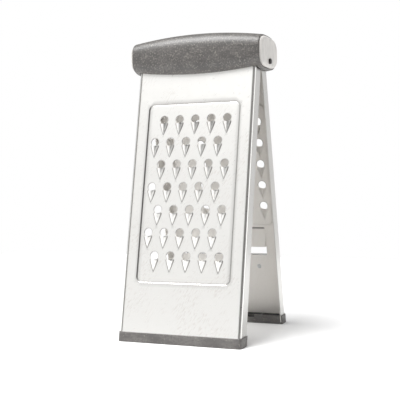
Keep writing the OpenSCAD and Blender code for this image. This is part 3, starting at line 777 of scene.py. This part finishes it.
def panel_pattern(leg, edge_spacing=1.6, fold_spacing=6, spacing=3.2, margin=1.5):
    """Every point and line of a panel's flat pattern."""
    pattern = Pattern(LEAST)
    pattern.line(leg.outline(), closed=True)
    for u, s, r, steps, drawn in leg.round_holes():
        pattern.line(drawn_circle(u, s, r, drawn, steps), closed=True)
    for share in (-1.2, -0.8, -0.4, 0, 0.4, 0.8, 1.2):  # of the sloping edge's width
        pattern.line(field_line(leg, share * leg.p.field_edge, edge_spacing), closed=True)
    if leg.rear:
        slot_lines(pattern, leg)
    wide = leg.p.groove_wide
    folds = [leg.turn * share for share in (0, 0.15, 0.3, 0.5, 0.75, 1)]
    for beyond in [-2 * wide, -wide, -wide / 2, *folds, leg.turn + wide]:
        for side in (-1, 1):
            u = side * (leg.flat + beyond)
            pattern.line([(u, s) for s in steps_between(leg.p.low, leg.high, fold_spacing)])
    for hole_u, hole_s in leg.holes():
        tooth_lines(pattern, leg, hole_u, hole_s)
    for s in steps_between(leg.p.low + margin, leg.high - margin, spacing):
        for u in steps_between(-leg.flat + margin, leg.flat - margin, spacing):
            pattern.loose(u, s)
    return pattern


def in_opening(leg, u, s, round_holes, inside=0.995):
    """Whether a place in the flat pattern is cut away, a hair inside the edges of round holes."""
    if leg.rear and leg.slot_low < s < leg.slot_high and abs(u) < leg.k.wide / 2 + leg.p.sheet:
        return True
    return any(math.hypot(u - a, (s - b) / (1 + drawn / r * (s < b))) < r * inside
               for a, b, r, _, drawn in round_holes)


def panel_mesh(leg, name):
    """The outer face of a panel as a mesh, its thickness, and the painted shade of both faces."""
    pattern = panel_pattern(leg)
    # 1 keeps the faces inside the outline. Points closer than the last number are one point.
    points, _, faces, *_ = delaunay_2d_cdt(pattern.points, pattern.lines, [], 1, 1e-5)
    by_row = {}
    for entry in leg.round_holes():
        for key in cells(entry[1] - NEAR, entry[1] + NEAR, NEAR):
            by_row.setdefault(key, []).append(entry)
    kept = []
    for face in faces:
        u = sum(points[i].x for i in face) / len(face)
        s = sum(points[i].y for i in face) / len(face)
        if not in_opening(leg, u, s, by_row.get(int(s // NEAR), [])):
            kept.append(tuple(reversed(face)) if leg.rear else tuple(face))
    used = sorted({i for face in kept for i in face})
    new_index = {old: i for i, old in enumerate(used)}
    places = [(points[i].x, points[i].y) for i in used]
    matrix = leg_matrix(leg.rear)
    mesh = bpy.data.meshes.new(name)
    mesh.from_pydata([matrix @ leg.place(u, s) for u, s in places], [],
                     [[new_index[i] for i in face] for face in kept])
    # The first attribute holds the painted shade of both faces; inner marks the inner face.
    for tone in ("crease", "inner"):
        mesh.attributes.new(tone, "FLOAT", "POINT")
    painted_shade_values = [leg.crease(u, s, inside) for inside in (False, True) for u, s in places]
    thick = [1 - (1 - leg.t.lip_share) * leg.raised(u, s) / leg.t.high
             if abs(u) < leg.flat else 1.0 for u, s in places]
    return mesh, thick, painted_shade_values


def build_panel(rear):
    """A folded panel with its pressed field, stretched teeth and holes."""
    leg = Leg(rear)
    name, body = ("rear_panel", REAR_BODY) if rear else ("front_panel", FRONT_BODY)
    mesh, thick, painted_shade_values = panel_mesh(leg, name + "_sheet")
    piece = add_piece(name + "_sheet", mesh, body, "panel_steel", [name])
    group = piece.vertex_groups.new(name="thickness")
    for i, weight in enumerate(thick):
        group.add([i], weight, "REPLACE")
    sheet = piece.modifiers.new("sheet", "SOLIDIFY")
    sheet.thickness = leg.p.sheet * MM
    sheet.offset = -1
    sheet.vertex_group = group.name
    settle(piece)
    inner = [0.0] * len(thick) + [1.0] * len(thick)
    # Painted shade values go on the outer and inner faces; the inner face is marked for its mill
    # tone.
    for tone, values in (("crease", painted_shade_values), ("inner", inner)):
        piece.data.attributes[tone].data.foreach_set("value", values)


def grip_middle():
    """Height of the grip's centre line."""
    return GRIP_TOP - bpy.context.scene.grater_handle.mid_high / 2


def oval(depth, high, steps=96):
    """A rounded oval of this depth and height round the grip's centre, in the YZ plane."""
    h = bpy.context.scene.grater_handle
    middle = grip_middle()
    points = []
    for i in range(steps):
        a = 2 * math.pi * i / steps
        reach = (abs(math.cos(a)) ** h.power + abs(math.sin(a)) ** h.power) ** (-1 / h.power)
        points.append((h.back + depth / 2 * reach * math.cos(a),
                       middle + high / 2 * reach * math.sin(a)))
    return points


def loft(rings):
    """A closed mesh through rings of (x, outline), with flat ends."""
    made = bmesh.new()
    loops = [[made.verts.new((x * MM, y * MM, z * MM)) for y, z in outline]
             for x, outline in rings]
    steps = len(loops[0])
    for a, b in zip(loops, loops[1:]):
        for i in range(steps):
            made.faces.new((a[i], a[(i + 1) % steps], b[(i + 1) % steps], b[i]))
    made.faces.new(list(reversed(loops[0])))
    made.faces.new(loops[-1])
    bmesh.ops.recalc_face_normals(made, faces=made.faces)
    mesh = bpy.data.meshes.new("loft")
    made.to_mesh(mesh)
    made.free()
    return mesh


def core_section(steps=12):
    """The outline of the stiff core that the grip is moulded on."""
    h = bpy.context.scene.grater_handle
    halves = (h.end_depth / 2 - h.wall - h.core_radius, h.end_high / 2 - h.wall - h.core_radius)
    return [corner_point((h.back, grip_middle()), halves, h.core_radius, quarter, i / steps)
            for quarter in range(4) for i in range(steps + 1)]


def hollow_section(low, high):
    """The outline of the space that the legs run up into."""
    h = bpy.context.scene.grater_handle
    half, grip_low = half_base(), GRIP_TOP - h.mid_high
    back = half - grip_low * math.tan(LEAN) + h.swing_gap
    front = [(z * math.tan(LEAN) - half, z) for z in (low, high)]
    return [front[0], (back, low), (back, high), front[1]]


def combine(piece, operation, *meshes):
    """Cuts closed meshes out of a piece, or joins them to it."""
    helpers = []
    for mesh in meshes:
        helper = new_object("cutter", mesh)
        helpers.append(helper)
        change = piece.modifiers.new("change", "BOOLEAN")
        change.operation, change.solver, change.object = operation, "EXACT", helper
    settle(piece)
    for helper in helpers:
        bpy.data.objects.remove(helper)


def build_grip(end_rings=5, body_rings=20):
    """The soft barrel, with rounded ends, a lip round each cap and the space for the legs."""
    h = bpy.context.scene.grater_handle
    lip_ease, past, hair = 0.25, 0.4, 0.01
    full = GRIP_HALF - h.edge
    inner = oval(h.end_depth - 2 * h.lip, h.end_high - 2 * h.lip)
    end = [(CORE_HALF, inner), (GRIP_HALF - lip_ease, inner)]
    for i in range(end_rings + 1):
        a = math.pi / 2 * (1 - i / end_rings)
        inset = h.edge * (1 - math.cos(a))
        end.append((full + h.edge * math.sin(a),
                    oval(h.end_depth - 2 * inset, h.end_high - 2 * inset)))
    shares = [i / body_rings for i in range(body_rings - 1, -body_rings, -1)]
    body = [(full * share, oval(h.end_depth + (h.mid_depth - h.end_depth) * (1 - share ** 2),
                                h.end_high + (h.mid_high - h.end_high) * (1 - share ** 2)))
            for share in shares]
    mesh = loft(end + body + [(-x, outline) for x, outline in reversed(end)])
    piece = add_piece("handle_grip_sleeve", mesh, FRONT_BODY, "grip_rubber", ["handle_grip"])
    # The core's space is cut a little past its ends, and the legs' space ends a hair before them.
    core = loft([(side * (CORE_HALF + past), core_section()) for side in (-1, 1)])
    hollow = hollow_section(grip_middle() - h.mid_high, grip_middle())
    legs = loft([(side * (CORE_HALF - hair), hollow) for side in (-1, 1)])
    combine(piece, "DIFFERENCE", core, legs)


def cap_plug(side):
    """The block behind a cap that fits between the core's walls, over the legs' upper edges."""
    h, p = bpy.context.scene.grater_handle, bpy.context.scene.grater_panels
    roof = grip_middle() + h.end_high / 2 - h.wall - h.roof
    strip_up = HINGE_UP / math.cos(LEAN) + pin_depth() * math.tan(LEAN)
    low = (strip_up + p.over + h.strip) * math.cos(LEAN) + h.strip * math.sin(LEAN) + h.seat
    (front, _), (back, _), *_ = hollow_section(roof, roof)
    outline = [(front + h.seat, low), (back - h.seat, low), (back - h.seat, roof - h.seat),
               (front + h.seat, roof - h.seat)]
    return loft([(side * (CORE_HALF - h.plug), outline), (side * (CORE_HALF + h.seat), outline)])


def build_cap(side, edge_rings=10, face_rings=9, past=1):
    """An end cap with a rounded, lightly crowned face, the pin's recess and its plug."""
    h = bpy.context.scene.grater_handle
    depth = h.end_depth - 2 * h.lip - 2 * h.joint
    high = h.end_high - 2 * h.lip - 2 * h.joint
    bulge = CAP_FACE - GRIP_HALF
    rings = [(CORE_HALF, oval(depth, high)), (GRIP_HALF, oval(depth, high))]
    for i in range(1, edge_rings + 1):
        a = math.pi / 2 * i / edge_rings
        drop = bulge * (1 - math.cos(a))
        rings.append((GRIP_HALF + (bulge - h.crown) * math.sin(a),
                      oval(depth - 2 * drop, high - 2 * drop)))
    edge_depth, edge_high = depth - 2 * bulge, high - 2 * bulge
    for i in range(1, face_rings):
        share = 1 - i / face_rings
        rings.append((CAP_FACE - h.crown * share ** 2,
                      oval(edge_depth * share, edge_high * share)))
    mesh = loft([(side * x, outline) for x, outline in rings])
    name = "end_cap_right" if side > 0 else "end_cap_left"
    piece = add_piece(name + "_face", mesh, FRONT_BODY, "cap_plastic", [name])
    ring = drawn_circle(0, HINGE_UP, h.recess / 2, drawn=0, steps=40)
    recess = loft([(side * (CAP_FACE - h.recess_deep), ring), (side * (CAP_FACE + past), ring)])
    combine(piece, "DIFFERENCE", recess)
    combine(piece, "UNION", cap_plug(side))


def eased(node, body, slot, width_mm, segments=2):
    """A rigid part at its CAD shape, with its hard edges eased as a finished part's are."""
    made = bmesh.new()
    made.from_mesh(frame["nodes"][node].data)
    bmesh.ops.remove_doubles(made, verts=made.verts, dist=SAME_PLACE)
    bmesh.ops.dissolve_limit(made, angle_limit=FLAT_ANGLE, verts=made.verts, edges=made.edges)
    mesh = bpy.data.meshes.new(node + "_eased")
    made.to_mesh(mesh)
    made.free()
    piece = add_piece(node + "_finished", mesh, body, slot, [node])
    ease = piece.modifiers.new("ease", "BEVEL")
    ease.width = width_mm * MM
    ease.segments = segments
    ease.limit_method = "ANGLE"
    ease.angle_limit = HARD_ANGLE
    ease.use_clamp_overlap = True
    settle(piece, angle=32)


class GraterFrontPanel(bpy.types.Operator):
    """Builds the front panel"""
    bl_idname = "grater.front_panel"
    bl_label = "Front panel"

    def execute(self, context):
        build_panel(rear=False)
        return {"FINISHED"}


class GraterRearPanel(bpy.types.Operator):
    """Builds the rear panel"""
    bl_idname = "grater.rear_panel"
    bl_label = "Rear panel"

    def execute(self, context):
        build_panel(rear=True)
        return {"FINISHED"}


class GraterSlicer(bpy.types.Operator):
    """Builds the slicing blade and its rivets"""
    bl_idname = "grater.slicer"
    bl_label = "Slicer"

    def execute(self, context):
        eased("slicer_blade", REAR_BODY, "blade_steel", 0.06, 1)
        eased("blade_rivets", REAR_BODY, "rivet_steel", 0.15)
        return {"FINISHED"}


class GraterGrip(bpy.types.Operator):
    """Builds the soft grip"""
    bl_idname = "grater.grip"
    bl_label = "Grip"

    def execute(self, context):
        build_grip()
        return {"FINISHED"}


class GraterCaps(bpy.types.Operator):
    """Builds the two end caps"""
    bl_idname = "grater.caps"
    bl_label = "End caps"

    def execute(self, context):
        for side in (-1, 1):
            build_cap(side)
        return {"FINISHED"}


class GraterFeet(bpy.types.Operator):
    """Builds the foot pads and their carriers"""
    bl_idname = "grater.feet"
    bl_label = "Feet"

    def execute(self, context):
        for name, body in (("front", FRONT_BODY), ("rear", REAR_BODY)):
            eased(name + "_foot_pad", body, "foot_rubber", 0.35, 3)
            eased(name + "_foot_carrier", body, "carrier_plastic", 0.25)
        return {"FINISHED"}


class GraterHinge(bpy.types.Operator):
    """Builds the hinge's pin, retainer, spacer, washers and bushes"""
    bl_idname = "grater.hinge"
    bl_label = "Hinge"

    def execute(self, context):
        eased("hinge_pin", FRONT_BODY, "pin_steel", 0.3, 3)
        eased("pin_retainer", FRONT_BODY, "pin_steel", 0.15)
        eased("hinge_spacer", FRONT_BODY, "spacer_metal", 0.2)
        for side in ("right", "left"):
            eased("washer_" + side, FRONT_BODY, "bush_plastic", 0.1)
            eased("bush_" + side, REAR_BODY, "bush_plastic", 0.12)
        return {"FINISHED"}


class GraterCore(bpy.types.Operator):
    """Builds the handle's core, the clamp with its screws and the stop strip"""
    bl_idname = "grater.core"
    bl_label = "Core and clamp"

    def execute(self, context):
        eased("handle_core", FRONT_BODY, "core_plastic", 0.3)
        eased("clamp_strip", FRONT_BODY, "rivet_steel", 0.2)
        eased("clamp_screws", FRONT_BODY, "rivet_steel", 0.3, 3)
        eased("stop_strip", REAR_BODY, "core_plastic", 0.2)
        return {"FINISHED"}


class GraterStageSet(bpy.types.Operator):
    """Builds the pale floor, the soft lights and the camera"""
    bl_idname = "grater.stage"
    bl_label = "Stage"

    def execute(self, context):
        g = context.scene.grater_stage
        add_floor(context.scene.grater_finishes.floor)
        add_studio(context.scene, g)
        add_top_light(g)
        add_camera(context.scene, g)
        return {"FINISHED"}


def add_floor(tone):
    """A pale floor under the feet. It ends soon, so that low reflections see the walls."""
    mesh = bpy.data.meshes.new("floor")
    corners = [(FLOOR_HALF * x, FLOOR_HALF * y, 0)
               for x, y in ((-1, -1), (1, -1), (1, 1), (-1, 1))]
    mesh.from_pydata(corners, [], [(0, 1, 2, 3)])
    floor = new_object("floor", mesh)
    material, _, _ = new_material("pale_matt_floor", {"Base Color": tone, "Roughness": 0.9})
    mesh.materials.append(material)


def add_studio(scene, g):
    """White walls, a little brighter low down. Two dark flags give the pale steel its edges and
    one side of each tooth its shade. Two brighter cards light the other side of the teeth and the
    space between the legs, and the wall behind on the right is a little dimmer."""
    world = bpy.data.worlds.new("soft_white")
    world.use_nodes = True
    tree = world.node_tree
    background = tree.nodes["Background"]
    background.inputs["Color"].default_value = (1, 1, 1, 1)
    way = add_node(tree, "ShaderNodeTexCoord").outputs["Generated"]
    parts = add_node(tree, "ShaderNodeSeparateXYZ", {}, {"Vector": way})
    walls = add_node(tree, "ShaderNodeMapRange",
                     {"From Max": 0.5, "To Min": g.horizon, "To Max": g.sky},
                     {"Value": parts.outputs["Z"]}).outputs["Result"]
    # Each has its azimuth and share of light, then how far round from there it is whole, and
    # where it ends, in degrees.
    for azimuth, tone, whole, ends in ((g.flag_at, g.dim, 18, 53), (-135, g.back, 28, 50),
                                       (-85, g.card, 15, 40), (158, g.side, 25, 50),
                                       (105, g.right, 10, 34)):
        a = math.radians(azimuth)
        toward = add_node(tree, "ShaderNodeVectorMath",
                          {"operation": "DOT_PRODUCT", 1: (math.sin(a), -math.cos(a), 0)},
                          {0: way})
        share = add_node(tree, "ShaderNodeMapRange",
                         {"From Min": math.cos(math.radians(ends)),
                          "From Max": math.cos(math.radians(whole)),
                          "To Min": 1.0, "To Max": tone, "interpolation_type": "SMOOTHSTEP"},
                         {"Value": toward.outputs["Value"]})
        walls = add_node(tree, "ShaderNodeMath", {"operation": "MULTIPLY"},
                         {0: walls, 1: share.outputs["Result"]}).outputs[0]
    seen = add_node(tree, "ShaderNodeLightPath")
    strength = add_node(tree, "ShaderNodeMix", {"data_type": "FLOAT", 3: 1.0},
                        {0: seen.outputs["Is Camera Ray"], 2: walls})
    join(tree, background, {"Strength": strength.outputs[0]})
    scene.world = world
    scene.view_settings.view_transform = "Standard"


def add_top_light(g):
    """One wide soft light overhead and a little to the front left, for the handle and floor."""
    data = bpy.data.lights.new("top", "SUN")
    data.energy, data.angle = g.key, math.radians(g.wide)
    down = Vector((0.3, 0.36, -0.88))
    new_object("top", data).rotation_euler = down.to_track_quat("-Z", "Y").to_euler()


def add_camera(scene, g):
    """The camera at the photograph's angle."""
    azimuth, elevation, roll = [math.radians(a) for a in (g.azimuth, g.elevation, g.roll)]
    target = Vector((0, 0, g.target * MM))
    back = Vector((math.sin(azimuth) * math.cos(elevation),
                   -math.cos(azimuth) * math.cos(elevation), math.sin(elevation)))
    right = (-back).cross(Vector((0, 0, 1))).normalized()
    up = right.cross(-back)
    across = right * math.cos(roll) + up * math.sin(roll)
    upright = up * math.cos(roll) - right * math.sin(roll)
    data = bpy.data.cameras.new("photo_view")
    data.lens, data.sensor_width = g.lens, SENSOR_WIDE
    data.shift_x, data.shift_y = g.shift_x, g.shift_y
    camera = new_object("photo_view", data)
    camera.matrix_world = Matrix.Translation(target + back * g.distance * MM) @ Matrix(
        (across, upright, back)).transposed().to_4x4()
    scene.camera = camera


GROUPS = {
    "grater_panels": GraterPanelSizes,
    "grater_teeth": GraterToothSizes,
    "grater_slicer": GraterSlicerSizes,
    "grater_handle": GraterHandleSizes,
    "grater_finishes": GraterFinishes,
    "grater_stage": GraterStage,
}
OPERATORS = (GraterStageSet, GraterFrontPanel, GraterRearPanel, GraterSlicer, GraterGrip,
             GraterCaps, GraterFeet, GraterHinge, GraterCore)


class GraterSidebar(bpy.types.Panel):
    """Lists the grater's pieces"""
    bl_idname = "VIEW3D_PT_grater"
    bl_label = "Grater"
    bl_space_type = "VIEW_3D"
    bl_region_type = "UI"
    bl_category = "Grater"

    def draw(self, context):
        for operator in OPERATORS:
            self.layout.operator(operator.bl_idname)


def register():
    """Registers the sizes, the operators and the sidebar."""
    for name, group in GROUPS.items():
        bpy.utils.register_class(group)
        setattr(bpy.types.Scene, name, bpy.props.PointerProperty(type=group))
    for item in (*OPERATORS, GraterSidebar):
        bpy.utils.register_class(item)


def unregister():
    """Takes away what register added."""
    for item in reversed((*OPERATORS, GraterSidebar)):
        bpy.utils.unregister_class(item)
    for name, group in reversed(GROUPS.items()):
        delattr(bpy.types.Scene, name)
        bpy.utils.unregister_class(group)


def main():
    """Builds every piece in order."""
    register()
    for operator in OPERATORS:
        group, name = operator.bl_idname.split(".")
        getattr(getattr(bpy.ops, group), name)()


if __name__ == "__main__":
    main()
